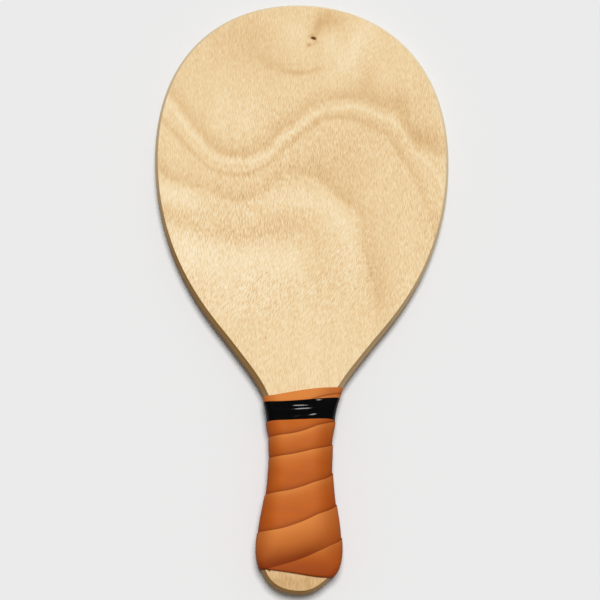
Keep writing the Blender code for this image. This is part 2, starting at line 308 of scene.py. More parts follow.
# growth rings on the front face, in millimetres from the paddle's middle: each line is drawn across (y over x), or
# along (x over y), with a soft reach on its two sides, a tone, and where it fades out
innerRing = [(-107, 131), (-92, 111), (-76, 94), (-62, 84), (-48, 82), (-34, 86), (-10, 107), (8, 123),
             (24, 128.5), (40, 127), (56, 121), (68, 108.5), (80, 88.5), (90, 65), (107, -6)]
outerRing = [(-107, 165), (-92, 137), (-76, 115), (-62, 100.5), (-48, 96.5), (-34, 101), (-10, 123.5), (8, 138),
             (24, 144), (40, 146), (56, 143), (68, 137), (76, 125), (83, 113), (107, 103)]
frontFigure = {
    "lines": [
        {"knots": [(-107, 149), (-92, 126), (-76, 105), (-62, 94), (-48, 91), (-34, 94), (-10, 114),
                   (8, 129), (24, 135.5), (40, 137), (56, 132), (68, 124), (76, 113), (82, 104),
                   (92, 95), (107, 62)],
         "reach": (2.4, 1.6), "tone": 0.115},
        {"knots": innerRing, "reach": (1.8, 2.1), "tone": -0.15, "fade": [(0, 40)]},
        {"knots": innerRing, "reach": (4.2, 2.5), "tone": -0.14, "fade": [(36, 0)]},
        {"knots": outerRing, "reach": (8.5, 2), "tone": -0.145, "fade": [(22, 50)]},
        {"knots": outerRing, "reach": (9, 3.8), "tone": -0.12, "fade": [(50, 22)]},
        {"knots": [(-107, 87), (-88, 76), (-70, 69), (-56, 65), (-42, 64), (-32, 67.5), (-20, 77),
                   (-8, 83.5), (4, 83.5), (16, 76.5), (28, 67.5), (40, 58), (60, 30), (107, 0)],
         "reach": (8, 2.2), "tone": -0.13, "fade": [(34, 50)]},
        {"knots": [(-107, 55), (-88, 45), (-70, 39), (-54, 35.5), (-40, 34), (-28, 38), (-14, 42),
                   (0, 42), (14, 36), (107, -40)],
         "reach": (9.5, 7), "tone": -0.12, "fade": [(-14, 18)]},
        {"knots": [(-90, 82), (-50, 66), (-20, 56), (0, 51), (20, 48), (40, 45.5), (56, 43), (100, 36)],
         "reach": (14, 2.6), "tone": -0.11, "fade": [(52, 68), (2, -40)], "along": True},
    ],
    "spots": [
        # middle, reach across and along, turn in degrees, tone
        ((7.2, 191.2), (2.3, 1.3), 30, -0.66),
        ((6.4, 193.8), (3, 2.6), 0, -0.22),
        ((4.4, 185.8), (3, 1.6), -10, -0.36),
        ((9.4, 187.8), (2, 1.3), 20, -0.16),
        ((16.5, 208), (7.5, 10), 22, -0.24),
        ((10, 200), (3.4, 7), 16, -0.16),
        ((26, 206), (5, 8), 20, -0.08),
        ((-45, 189), (25, 21), 0, -0.13),
        ((-28, 174), (14, 6), 25, -0.06),
        ((-3.5, 164.4), (13, 3), -3, -0.17),
        ((-20, 168.4), (11, 3.2), 17, -0.08),
        ((11, 167), (7, 1.9), -16, -0.08),
        ((-6, 170.8), (10, 1), -4, -0.07),
        ((-6, 195), (12, 13), 0, 0.08),
        ((22, 187), (6, 9), 10, 0.10),
        ((36, 183), (7.5, 26), 31, 0.15),
        ((48, 160), (6, 12), 20, -0.10),
        ((70, 146), (14, 10), 0, -0.06),
        ((84, 126), (13, 18), 0, -0.07),
        ((91, 116), (15, 10.5), 12, -0.12),
        ((-49, 126), (21, 19), 0, 0.075),
        ((20, 91), (24, 13), 0, -0.11),
        ((40, 76), (13, 15), 0, -0.07),
        ((28, 112), (30, 12), 0, -0.05),
        ((-92, 64), (18, 9), 20, 0.19),
        ((-4, 64), (24, 9), 0, 0.11),
        ((26, 51), (8, 15), -35, 0.12),
        ((33, 24), (7, 24), -5, 0.10),
        ((12, 22), (7, 14), 0, -0.04),
        ((58, -8), (10, 24), -12, -0.07),
        ((-46, 14), (42, 16), 0, 0.14),
        ((-84, 26), (20, 18), 0, 0.17),
        ((-9, 16), (10, 12), 0, 0.09),
        ((-46, -12), (34, 20), 0, 0.09),
        ((0, -60), (40, 24), 0, 0.04),
        # darker over the butt: painted shade under the grip, and handling dirt
        ((0, -216), (60, 17), 0, -0.31),
        ((-13, -212), (9, 5), 0, -0.05),
    ],
    # where the pores lean over, and where they are deeper or finer than elsewhere
    "leaning": [
        ((36, 20), (30, 60), 0, 1),
        ((-28, -8), (52, 34), 0, 1),
        ((0, -75), (60, 40), 0, 0.35),
        ((42, 180), (26, 34), 20, 1),
    ],
    "poreDepth": [
        ((-60, 10), (50, 45), 0, 0.65),
        ((36, 180), (26, 30), 25, 0.3),
        ((0, -85), (70, 45), 0, -0.08),
        ((0, 190), (130, 60), 0, -0.52),
        ((-90, 100), (42, 68), 0, -0.5),
        ((90, 90), (40, 60), 0, -0.2),
        ((0, -220), (60, 30), 0, -0.45),
    ],
}
veneerColours = [
    (0.0, fromScreen(92, 46, 0)), (0.12, fromScreen(192, 148, 94)), (0.24, fromScreen(216, 177, 124)),
    (0.38, fromScreen(227, 192, 141)), (0.52, fromScreen(237, 208, 159)), (0.64, fromScreen(243, 219, 176)),
    (0.84, fromScreen(249, 231, 198)),
]
# ply brown of the sanded rim, and the pale colour it takes under painted light
rimColours = {
    "edgeBrown": fromScreen(146, 113, 63), "deep": fromScreen(120, 89, 45), "lit": fromScreen(247, 228, 190),
}
veneerLook = {
    # tones are places on the ramp of colours, low for dark and high for pale
    "cloud": (0.475, 0.54), "streak": (-0.03, 0.03), "lively": (0.75, 1.25), "wander": 7.0,
    # pores lie shallower in the darkest wood
    "darkTones": (0.15, 0.42), "depths": (0.62, 1.13),
    # millimetres below the face over which the rim's ply brown sets in
    "rimStart": (0.02, 0.16),
    "roughness": (0.60, 0.48), "specular": 0.2, "bump": (0.10, 0.2 * mm),
}


def addGrainLine(tree, place, line):
    # soft stroke along a free line, with its reach measured square to the line
    parts = addNode(tree, "ShaderNodeSeparateXYZ", {"Vector": place})
    start, level = parts.outputs[0], parts.outputs[1]
    if line.get("along"):
        start, level = level, start
    knots = line["knots"]
    first, span = knots[0][0], knots[-1][0] - knots[0][0]
    margin = 5.0
    low = min(k[1] for k in knots) - margin
    rise = max(k[1] for k in knots) + margin - low
    heights = []
    for ahead in (0.0, 1.0):
        share = remap(tree, calc(tree, "ADD", start, ahead), first, first + span, 0.0, 1.0)
        curve = addNode(tree, "ShaderNodeFloatCurve", {"Value": share})
        points = curve.mapping.curves[0].points
        for i, (x, y) in enumerate(knots):
            spot = ((x - first) / span, (y - low) / rise)
            if i < 2:
                points[i].location = spot
            else:
                points.new(*spot)
        curve.mapping.update()
        heights.append(calc(tree, "MULTIPLY_ADD", curve.outputs[0], rise, low))
    slope = calc(tree, "SUBTRACT", heights[1], heights[0])
    size = calc(tree, "SQRT", calc(tree, "MULTIPLY_ADD", slope, slope, 1.0))
    away = calc(tree, "DIVIDE", calc(tree, "SUBTRACT", level, heights[0]), size)
    above, below = line["reach"]
    reach = remap(tree, away, -0.5, 0.5, below, above)
    off = calc(tree, "DIVIDE", away, reach)
    stroke = fadeOut(tree, calc(tree, "MULTIPLY", off, off))
    for ends in line.get("fade", []):
        stroke = calc(tree, "MULTIPLY", stroke, remap(tree, start, *ends, 1.0, 0.0, True))
    return stroke


def addSpot(tree, place, middle, reach, turn, tone):
    given = {"Place": place, "Middle": (*middle, 0.0), "Reach": (*reach, 1.0), "Turn": math.radians(turn)}
    return addNode(tree, "ShaderNodeGroup", {**given, "Amount": tone}, node_tree=softSpot).outputs[0]


def veneerMaterial(name, figure, level, facing):
    material, tree, shader, coords = newMaterial(name)
    look = veneerLook
    place = calcVector(tree, "MULTIPLY", coords, (1.0 / mm, 1.0 / mm, 0.0))
    # a slow wander keeps the drawn lines from looking ruled
    wander = addNode(tree, "ShaderNodeTexNoise", {"Vector": place, "Scale": 0.045, "Detail": 2.0}).outputs["Color"]
    wander = calcVector(tree, "SUBTRACT", wander, (0.5, 0.5, 0.5))
    wander = calcVector(tree, "MULTIPLY", wander, (look["wander"], look["wander"], 0.0))
    wandered = calcVector(tree, "ADD", place, wander)
    cloud = noiseOf(tree, place, 0.022, 3.0, 0.55, (1.0, 0.6, 1.0))
    streak = noiseOf(tree, place, 1.0, 2.0, 0.5, (0.22, 0.018, 1.0))
    tone = calc(tree, "ADD", remap(tree, cloud, 0.25, 0.75, *look["cloud"]),
                remap(tree, streak, 0.25, 0.75, *look["streak"]))
    lively = noiseOf(tree, place, 0.03, 1.0, offset=(90.0, 40.0, 0.0))
    lively = remap(tree, lively, 0.3, 0.7, *look["lively"])
    for line in figure["lines"]:
        stroke = addGrainLine(tree, wandered, line)
        tone = calc(tree, "MULTIPLY_ADD", calc(tree, "MULTIPLY", stroke, lively), line["tone"], tone)
    for spot in figure["spots"]:
        tone = calc(tree, "ADD", tone, addSpot(tree, wandered, *spot))

    drift, depth = 0.0, remap(tree, tone, *look["darkTones"], *look["depths"])
    for spot in figure["leaning"]:
        drift = calc(tree, "ADD", addSpot(tree, place, *spot), drift)
    for spot in figure["poreDepth"]:
        depth = calc(tree, "ADD", addSpot(tree, place, *spot), depth)
    given = {"Place": place, "Drift": drift, "Depth": depth}
    pores = addNode(tree, "ShaderNodeGroup", given, node_tree=poreStrokes)
    strokes = pores.outputs["Strokes"]
    colour = rampOf(tree, calc(tree, "ADD", strokes, tone), veneerColours)

    # the sanded rim below the crisp arris of the face is ply brown, with painted light and shade along it
    height = addNode(tree, "ShaderNodeSeparateXYZ", {"Vector": coords}).outputs[2]
    below = calc(tree, "MULTIPLY", calc(tree, "SUBTRACT", level, height), facing / mm)
    onRim = remap(tree, below, *look["rimStart"], 0.0, 1.0, True)
    edgeGrain = noiseOf(tree, coords, 260.0, 3.0, 0.6, (1.0, 1.0, 9.0))
    rim = mixColour(tree, edgeGrain, rimColours["deep"], rimColours["edgeBrown"])
    rim = mixColour(tree, paintedRimLightShare(tree, coords), rim, rimColours["lit"])
    colour = mixColour(tree, onRim, colour, rim)
    finishSurface(tree, shader, look, colour, strokes, (-0.4, 0.4), pores.outputs["Height"])
    return material


plyLook = {
    # stretch of the grain on the edge of a ply that runs along the paddle, and of one that runs across it
    "along": (1.0, 1.0, 14.0), "across": (5.0, 5.0, 6.0),
    "roughness": (0.75, 0.6), "specular": 0.25, "bump": (0.25, 0.2 * mm),
}


def plyMaterial(name, pale, deep, grain):
    # edge of an inner ply: streaks for long grain, specks for end grain
    material, tree, shader, coords = newMaterial(name)
    streaks = noiseOf(tree, coords, 180.0, 4.0, 0.6, plyLook[grain])
    blotch = noiseOf(tree, coords, 45.0, 2.0)
    share = calc(tree, "MULTIPLY_ADD", blotch, 0.5, calc(tree, "MULTIPLY", streaks, 0.6))
    colour = mixColour(tree, share, deep, pale)
    # painted light and shade along the ply edge, as on the rim
    colour = mixColour(tree, paintedRimLightShare(tree, coords), colour, rimColours["lit"])
    finishSurface(tree, shader, plyLook, colour, streaks, relief=streaks)
    return material


# blade

blade = {
    "length": 0.440, "headWidth": 0.215, "headFromTip": 0.1215, "flankWidth": 0.104, "flankStation": 0.1755,
    "flankSlope": math.radians(37.0), "neckWidth": 0.0402, "neckStation": 0.093, "palmWidth": 0.0564,
    "palmStation": 0.030,
    "tipFullness": 0.54, "headFullness": (0.67, 0.57), "flankFullness": (0.13, 0.54), "neckFullness": (0.53, 0.42),
    "palmFullness": (0.32, 0.45), "buttFullness": 0.80,
    "outlineSteps": 30, "rimBevel": 2.0 * mm, "arris": 0.22 * mm, "glue": 0.1 * mm, "seam": 0.02 * mm,
    # the face's edge is eased further in at the throat, and a little less at the butt: depth, from, run
    "easedThroat": (1.2 * mm, 0.250, 0.115), "crispButt": (0.1 * mm, 0.030, 0.025),
    # right corner of the butt: depth sanded off, from, run, and how far across it sets in
    "corner": (2.6 * mm, 0.017, 0.010, 0.016),
}
buttY = -blade["length"] / 2
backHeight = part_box("back_face_veneer")[0].z
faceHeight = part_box("front_face_veneer")[1].z
middleHeight = (backHeight + faceHeight) / 2
boardHalf = (faceHeight - backHeight) / 2


def outlineKnots():
    # right side from the tip to the butt: point, handle before it, handle after it
    b = blade
    points = [
        Vector((0.0, b["length"], 0.0)), Vector((b["headWidth"] / 2, b["length"] - b["headFromTip"], 0.0)),
        Vector((b["flankWidth"] / 2, b["flankStation"], 0.0)), Vector((b["neckWidth"] / 2, b["neckStation"], 0.0)),
        Vector((b["palmWidth"] / 2, b["palmStation"], 0.0)), Vector((0.0, 0.0, 0.0)),
    ]
    up, out = Vector((0.0, 1.0, 0.0)), Vector((1.0, 0.0, 0.0))
    leans = [out, up, Vector((math.sin(b["flankSlope"]), math.cos(b["flankSlope"]), 0.0)), up, up, out]
    fullness = [(0.0, b["tipFullness"]), b["headFullness"], b["flankFullness"], b["neckFullness"],
                b["palmFullness"], (b["buttFullness"], 0.0)]
    drops = [points[i].y - points[i + 1].y for i in range(5)]
    lift = Vector((0.0, buttY, 0.0))
    knots = []
    for i, point in enumerate(points):
        if i in (0, 5):
            side = points[1 if i == 0 else 4].x
            reachIn, reachOut = side * fullness[i][0] * out, side * fullness[i][1] * out
        else:
            reachIn, reachOut = drops[i - 1] * fullness[i][0] * leans[i], -drops[i] * fullness[i][1] * leans[i]
        knots.append((point + lift, point + reachIn + lift, point + reachOut + lift))
    return knots


def mirrored(vector):
    return Vector((-vector.x, vector.y, vector.z))


rightKnots = outlineKnots()
rightSide = []
for (start, _, leave), (end, arrive, _) in zip(rightKnots, rightKnots[1:]):
    rightSide += interpolate_bezier(start, leave, arrive, end, blade["outlineSteps"] + 1)[:-1]
rightSide = sorted([(p.y, p.x) for p in rightSide] + [(buttY, 0.0)])
rightSideY = [p[0] for p in rightSide]


def halfWidth(station):
    y = station + buttY
    i = min(max(bisect.bisect_right(rightSideY, y), 1), len(rightSide) - 1)
    (y0, x0), (y1, x1) = rightSide[i - 1], rightSide[i]
    return x0 + (x1 - x0) * min(1.0, max(0.0, (y - y0) / (y1 - y0)))


def sandedCorner(y, x):
    # the right corner of the butt is sanded off a little further than the left
    depth, start, run, across = blade["corner"]
    return depth * fallTo(y - buttY, start, run) * riseFrom(x, 0.0, across)


def makeBlank():
    left = [(mirrored(p), mirrored(after), mirrored(before)) for p, before, after in rightKnots[-2:0:-1]]
    knots = rightKnots + left
    knots[0] = (rightKnots[0][0], mirrored(rightKnots[0][2]), rightKnots[0][2])
    knots[5] = (rightKnots[5][0], rightKnots[5][1], mirrored(rightKnots[5][1]))
    curve = bpy.data.curves.new("bladeOutline", "CURVE")
    curve.dimensions = "2D"
    curve.fill_mode = "BOTH"
    curve.extrude = boardHalf
    curve.resolution_u = blade["outlineSteps"]
    spline = curve.splines.new("BEZIER")
    spline.bezier_points.add(len(knots) - 1)
    spline.use_cyclic_u = True
    for bezier, (point, before, after) in zip(spline.bezier_points, knots):
        bezier.handle_left_type = bezier.handle_right_type = "FREE"
        bezier.co, bezier.handle_left, bezier.handle_right = point, before, after
    guide = bpy.data.objects.new("bladeOutline", curve)
    scene.collection.objects.link(guide)
    mesh = bpy.data.meshes.new_from_object(guide.evaluated_get(bpy.context.evaluated_depsgraph_get()))
    bpy.data.objects.remove(guide, do_unlink=True)

    blank = bmesh.new()
    blank.from_mesh(mesh)
    bmesh.ops.remove_doubles(blank, verts=blank.verts, dist=1e-6)
    for facing in (1.0, -1.0):
        flat = [f for f in blank.faces if f.normal.z * facing > 0.5]
        bmesh.ops.dissolve_faces(blank, faces=flat, use_verts=False)
    rim = [e for e in blank.edges if len(e.link_faces) == 2 and e.calc_face_angle() > math.radians(60)]
    bmesh.ops.bevel(blank, geom=rim, offset=blade["rimBevel"], offset_type="OFFSET", affect="EDGES", segments=1,
                    profile=0.5, material=-1, clamp_overlap=False)
    # fingers and sandpaper have eased the edge further at the throat
    for flat in [f for f in blank.faces if abs(f.normal.z) > 0.9]:
        inward = {}
        for corner in flat.loops:
            along = corner.link_loop_next.vert.co - corner.link_loop_prev.vert.co
            inward[corner.vert] = flat.normal.cross(along).normalized()
        for vert, direction in inward.items():
            (eased, *throat), (crisp, *end) = blade["easedThroat"], blade["crispButt"]
            butt = fallTo(vert.co.y - buttY, *end)
            share = fallTo(vert.co.y - buttY, *throat) * (1.0 - butt)
            vert.co += direction * (eased * share - crisp * butt)
    arris = [e for e in blank.edges if len(e.link_faces) == 2 and abs(e.verts[0].co.z - e.verts[1].co.z) < 1e-6
             and math.radians(15) < e.calc_face_angle() < math.radians(80)]
    bmesh.ops.bevel(blank, geom=arris, offset=blade["arris"], offset_type="OFFSET", affect="EDGES", segments=2,
                    profile=0.5, material=-1, clamp_overlap=False)
    for vert in blank.verts:
        vert.co.x -= sandedCorner(vert.co.y, vert.co.x)
    bmesh.ops.translate(blank, verts=blank.verts, vec=(0.0, 0.0, middleHeight))
    return blank


def makePly(blank, name, node, material):
    low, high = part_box(node)
    # inner faces close up to a hairline glue seam
    closing = (blade["glue"] - blade["seam"]) / 2
    bottom = low.z if low.z < backHeight + 1e-6 else low.z - closing
    top = high.z if high.z > faceHeight - 1e-6 else high.z + closing
    ply = blank.copy()
    for height, outward in ((top, 1.0), (bottom, -1.0)):
        if height > faceHeight - 1e-6 or height < backHeight + 1e-6:
            continue
        cut = bmesh.ops.bisect_plane(ply, geom=ply.verts[:] + ply.edges[:] + ply.faces[:], dist=1e-7,
                                     plane_co=(0.0, 0.0, height), plane_no=(0.0, 0.0, outward), clear_outer=True)
        edges = [item for item in cut["geom_cut"] if isinstance(item, bmesh.types.BMEdge)]
        bmesh.ops.contextual_create(ply, geom=edges)
    bmesh.ops.recalc_face_normals(ply, faces=ply.faces)
    return asPiece(asObject(name, ply, material), node)


backFigure = {
    "lines": [
        {"knots": [(-107, 40), (-60, 80), (-20, 120), (10, 134), (50, 120), (107, 60)],
         "reach": (8, 3), "tone": -0.12},
        {"knots": [(-107, 64), (-60, 104), (-20, 142), (10, 156), (50, 143), (107, 84)],
         "reach": (6, 2), "tone": -0.13},
        {"knots": [(-107, 10), (-60, 44), (-20, 78), (12, 92), (50, 76), (107, 20)],
         "reach": (9, 4), "tone": -0.10},
    ],
    "spots": [((-40, 60), (40, 30), 20, 0.07), ((50, 150), (30, 30), 0, -0.06),
              ((0, -218), (60, 12), 0, -0.30)],
    "leaning": [((60, 40), (60, 60), 0, 1)],
    "poreDepth": [((0, -220), (60, 30), 0, -0.5)],
}
brownPly = plyMaterial("brownPlyEdge", fromScreen(160, 123, 74), fromScreen(114, 83, 46), "across")
tanPly = plyMaterial("tanPlyEdge", fromScreen(180, 147, 98), fromScreen(140, 109, 68), "along")
blank = makeBlank()
frontVeneer = veneerMaterial("figuredVeneer", frontFigure, faceHeight, 1.0)
backVeneer = veneerMaterial("plainVeneer", backFigure, backHeight, -1.0)
for name, node, slotName, material in (
    ("frontFaceVeneer", "front_face_veneer", "face_veneer", frontVeneer),
    ("frontCrossband", "front_crossband", "brown_ply", brownPly),
    ("frontLongPly", "front_long_ply", "tan_ply", tanPly),
    ("corePly", "core_ply", "brown_ply", brownPly),
    ("backLongPly", "back_long_ply", "tan_ply", tanPly),
    ("backCrossband", "back_crossband", "brown_ply", brownPly),
    ("backFaceVeneer", "back_face_veneer", "face_veneer", backVeneer),
):
    makePly(blank, name, node, material)
blank.free()
print("blade made, seven plies")


# handle: the bare section that the winding lies on

handle = {
    "gripButt": 13.9 * mm, "gripLength": 126.2 * mm, "cheekHeight": 5.0 * mm, "cheekEdge": 0.4 * mm,
    "cheekRound": 13.0 * mm, "buttRamp": 32.0 * mm, "throatRamp": 40.0 * mm,
}
gripTop = handle["gripButt"] + handle["gripLength"]


def sectionSizes(station):
    rise = riseFrom(station, handle["gripButt"], handle["buttRamp"])
    share = rise * fallTo(station, gripTop, handle["throatRamp"])
    width = halfWidth(station)
    dome = handle["cheekEdge"] + (handle["cheekHeight"] - handle["cheekEdge"]) * share
    height = boardHalf + blade["glue"] + dome
    corner = blade["rimBevel"] + (handle["cheekRound"] - blade["rimBevel"]) * share
    corner = min(max(corner, blade["rimBevel"]), 0.9 * width)
    return width, height, corner, height - (boardHalf - blade["rimBevel"])


def onHandle(station, share, offset):
    # share of the way round: 0 right side, 0.25 front, 0.5 left side, 0.75 back
    width, height, corner, cornerHeight = sectionSizes(station)
    quarter = int(math.floor(share * 4.0)) % 4
    part = share * 4.0 - math.floor(share * 4.0)
    if quarter in (1, 3):
        part = 1.0 - part
    wall = height - cornerHeight
    arc = math.pi / 2 * math.sqrt((corner ** 2 + cornerHeight ** 2) / 2)
    flat = width - corner
    gone = part * (wall + arc + flat)
    if gone < wall:
        x, z, nx, nz = width, gone, 1.0, 0.0
    elif gone < wall + arc:
        turn = (gone - wall) / arc * math.pi / 2
        x, z = width - corner + corner * math.cos(turn), wall + cornerHeight * math.sin(turn)
        nx, nz = math.cos(turn) / corner, math.sin(turn) / cornerHeight
        size = math.hypot(nx, nz)
        nx, nz = nx / size, nz / size
    else:
        x, z, nx, nz = flat - (gone - wall - arc), height, 0.0, 1.0
    left = -1.0 if quarter in (1, 2) else 1.0
    under = -1.0 if quarter in (2, 3) else 1.0
    return Vector((left * (x + nx * offset), station + buttY, middleHeight + under * (z + nz * offset)))


# winding: one padded strip, wound down from the throat, each turn lapping the one above it

winding = {
    # upper edge of each turn in millimetres from the butt, from the right side over the front to the left side
    "creases": [
        (140.5, 137.7, 132.3, 129.5, 128.0), (120.7, 116.3, 110.9, 108.1, 107.0), (104.3, 100.0, 96.1, 93.4, 92.3),
        (84.5, 77.7, 71.9, 68.2, 66.7), (62.5, 55.3, 47.7, 42.3, 40.7), (39.5, 30.3, 23.0, 18.1, 14.8),
    ],
    "above": [(-1.5, 160.5), (-1.0, 152.5), (-0.5, 145.0)], "below": [(6.0, 10.5), (7.0, -13.5)],
    # ends of the strip as mean, right-left share and front-back share
    "top": (139.65, 3.85, 1.55), "butt": (13.5, -2.7, -0.6),
    "turns": (-1.28, 5.425), "lap": 4.0, "lapStart": (-0.33, 0.28), "narrowest": 0.4,
    # millimetres above the bare handle: on the first turn, at a turn's low side and at its crest
    "first": 1.2, "firstEase": (1.2, 125.0), "tucked": 1.85, "riding": 2.55, "fall": 2.0,
    # rolled edges: share of the height left at the edge, and reach
    "creaseEdge": (0.10, 0.8), "topEdge": (0.40, 3.0), "buttEdge": (0.62, 1.1),
    # least height at the throat, its station, and rise towards the butt
    "throatTaper": (0.85, 143.5, 0.13),
    # the hand has squeezed the padding, on the right only in the lower half: depth, from, run
    "squeezeRight": (1.05, 95.0, 55.0), "squeezeLeft": (0.7, 121.0, 10.0),
    # wall of the strip: full where it is glued down at the butt, half elsewhere, thin at a lapped edge
    "thickness": 2.1 * mm, "thinnest": 0.06, "half": 0.5, "thinEdge": 2.0, "thinFrom": -0.3, "glued": (3.0, 2.5),
    "stepsPerTurn": 96,
    "rows": (0.0, 0.008, 0.02, 0.036, 0.056, 0.08, 0.11, 0.15, 0.2, 0.27, 0.35, 0.44, 0.53, 0.62, 0.7, 0.77, 0.83,
             0.88, 0.92, 0.96, 1.0),
}
band = {
    # black tape: lower and upper edge as mean, right-left share and front-back share
    "low": (119.3, 1.2, 0.1), "top": (134.4, 2.0, -0.6),
    # height of the padding pressed under it, low and top, and how the hold sets in round its edges
    "pressed": (2.4, 1.75), "hold": (-0.9, 1.2),
    # swelling below it: height, middle, reach
    "swell": (0.75, 3.5, 5.0),
}
creaseKnots = list(winding["above"])
for turn, stations in enumerate(winding["creases"]):
    creaseKnots += [(turn + 0.125 * i, station) for i, station in enumerate(stations)]
creaseKnots += winding["below"]


def creaseAt(turn):
    return lineThrough(creaseKnots, turn)


def roundLine(values, share):
    mean, side, front = values
    return mean + side * math.cos(2 * math.pi * share) + front * math.sin(2 * math.pi * share)


def pressedLevel(up):
    low, top = band["pressed"]
    return low + (top - low) * up


def pressedHeight(height, station, share):
    # the black tape holds the padding down, which swells below it
    low, top = roundLine(band["low"], share), roundLine(band["top"], share)
    hold = riseFrom(min(station - low, top - station), *band["hold"])
    rise, middle, reach = band["swell"]
    swell = rise * math.exp(-((low - station - middle) / reach) ** 2)
    up = min(1.0, max(0.0, (station - low) / (top - low)))
    return (height + swell) * (1.0 - hold) + pressedLevel(up) * hold


def rolledEdge(distance, foot, reach):
    return foot + (1.0 - foot) * roundOver(distance / reach)


def lappedShare(turn):
    # the first turn lies on the wood, and the later ones ride on the turn above
    return riseFrom(turn, *winding["lapStart"])


def windingHeight(turn, share, station):
    # millimetres above the bare handle
    below = creaseAt(turn) - station
    pitch = creaseAt(turn) - creaseAt(turn + 1.0)
    part = min(1.0, max(0.0, below / pitch))
    lapped = lappedShare(turn)
    ease, run = winding["firstEase"]
    tucked = winding["first"] + (winding["tucked"] - winding["first"]) * smoothStep(ease - station / run + lapped)
    crest = tucked + (winding["riding"] - tucked) * lapped
    edge = rolledEdge(below, *winding["creaseEdge"])
    height = tucked + (crest - tucked) * edge * (1.0 - part ** winding["fall"])
    height *= rolledEdge(roundLine(winding["top"], share) - station, *winding["topEdge"])
    height *= rolledEdge(station - roundLine(winding["butt"], share), *winding["buttEdge"])
    least, end, slope = winding["throatTaper"]
    return pressedHeight(min(height, least + slope * (end - station)), station, share)


creaseLook = {
    # shade above a crease: strength and reach in millimetres of its core and of its soft part
    "core": (0.45, 1.2), "soft": (0.25, 4.0),
    # painted shade in the line of the crease: strength and width
    "line": (0.8, 0.35),
    # painted shade on the last full band, which rolls over at the front: turns it lies between, strength before
    # and gained, turn, reach
    "lastBand": (3.85, 4.75, 0.2), "rolled": (0.25, 0.65), "rollsOver": (4.02, 0.22), "rolledReach": 8.3,
    # painted highlight on the lip below a crease and below the tape: reach, extra reach on the last band, and
    # where it ends
    "lip": (4.5, 11.0), "lipEnd": (5.05, 0.2, 0.85), "underTape": (0.2, 5.0),
    # painted light over the throat, less painted shade there, and one fold in it: strength, depth below the
    # crease, width
    "throat": (128.0, 6.0), "throatLip": 0.95, "throatShade": 0.6,
    "foldStart": (-0.06, 0.08), "foldEnd": (0.32, 0.12), "fold": (0.75, 0.3, 0.7),
}


def fadeFrom(distance, strength, reach):
    return strength * math.exp(-max(0.0, distance) / reach)


def windingShade(turn, station):
    # painted shade by how deep in a crease a spot lies, and painted highlight by how near below one
    look = creaseLook
    below = creaseAt(turn) - station
    toNext = station - creaseAt(turn + 1.0)
    lapped = lappedShare(turn)
    throat = riseFrom(station, *look["throat"])
    start, end, run = look["lastBand"]
    lastBand = riseFrom(turn, start, run) * fallTo(turn, end, run)

    strength, width = look["line"]
    line = strength * lapped * math.exp(-((below / width) ** 2))
    dark = max(fadeFrom(toNext, *look["core"]) + fadeFrom(toNext, *look["soft"]), line)
    rolled = look["rolled"][0] + look["rolled"][1] * riseFrom(turn, *look["rollsOver"])
    dark = max(dark, rolled * lastBand * math.exp(-((max(0.0, toNext) / look["rolledReach"]) ** 1.3)))
    strength, depth, width = look["fold"]
    fold = throat * riseFrom(turn, *look["foldStart"]) * fallTo(turn, *look["foldEnd"])
    dark = max(dark * (1.0 - look["throatShade"] * throat),
               strength * fold * math.exp(-(((below - depth) / width) ** 2)))

    underTape = roundLine(band["low"], turn % 1.0) - station
    reach, extra = look["lip"]
    lip = max(fadeFrom(below, lapped, reach + extra * lastBand), look["throatLip"] * throat,
              fadeFrom(underTape, *look["underTape"]))
    start, run, loss = look["lipEnd"]
    return min(1.0, dark), lip * (1.0 - loss * riseFrom(turn, start, run))


# reach of the painted side shade: padding over the wood, start and run on the right and on the left
sideShadeSpan = {"padding": 2.5 * mm, "right": (0.25, 0.55), "left": (0.5, 0.4)}


def sideShade(station, across):
    # painted shade towards both sides, where the strip turns away from the light, sooner on the right
    part = across / (halfWidth(station * mm) + sideShadeSpan["padding"])
    return riseFrom(part, *sideShadeSpan["right"]) if part > 0 else riseFrom(-part, *sideShadeSpan["left"])


def squeezed(x, station):
    # how far a spot of the strip is pushed to the left by the hand
    side = x / halfWidth(station * mm)
    right, *rightRun = winding["squeezeRight"]
    left, *leftRun = winding["squeezeLeft"]
    push = right * max(0.0, side) * fallTo(station, *rightRun) + left * min(0.0, side) * fallTo(station, *leftRun)
    return push * mm


def faceOutward(shape):
    # a band round the handle looks away from the handle's middle
    bmesh.ops.recalc_face_normals(shape, faces=shape.faces)
    outward = 0.0
    for face in shape.faces:
        middle = face.calc_center_median()
        outward += face.normal.dot(Vector((middle.x, 0.0, middle.z - middleHeight)))
    if outward < 0:
        bmesh.ops.reverse_faces(shape, faces=shape.faces)


def addWall(obj, name, thickness):
    wall = obj.modifiers.new(name, "SOLIDIFY")
    wall.thickness = thickness
    wall.offset = -1.0
    return wall


# painted shade, painted highlight and painted side shade on the strip, which lead its colour
stripMarks = ("creaseShade", "lipGlow", "paintedSideShade")


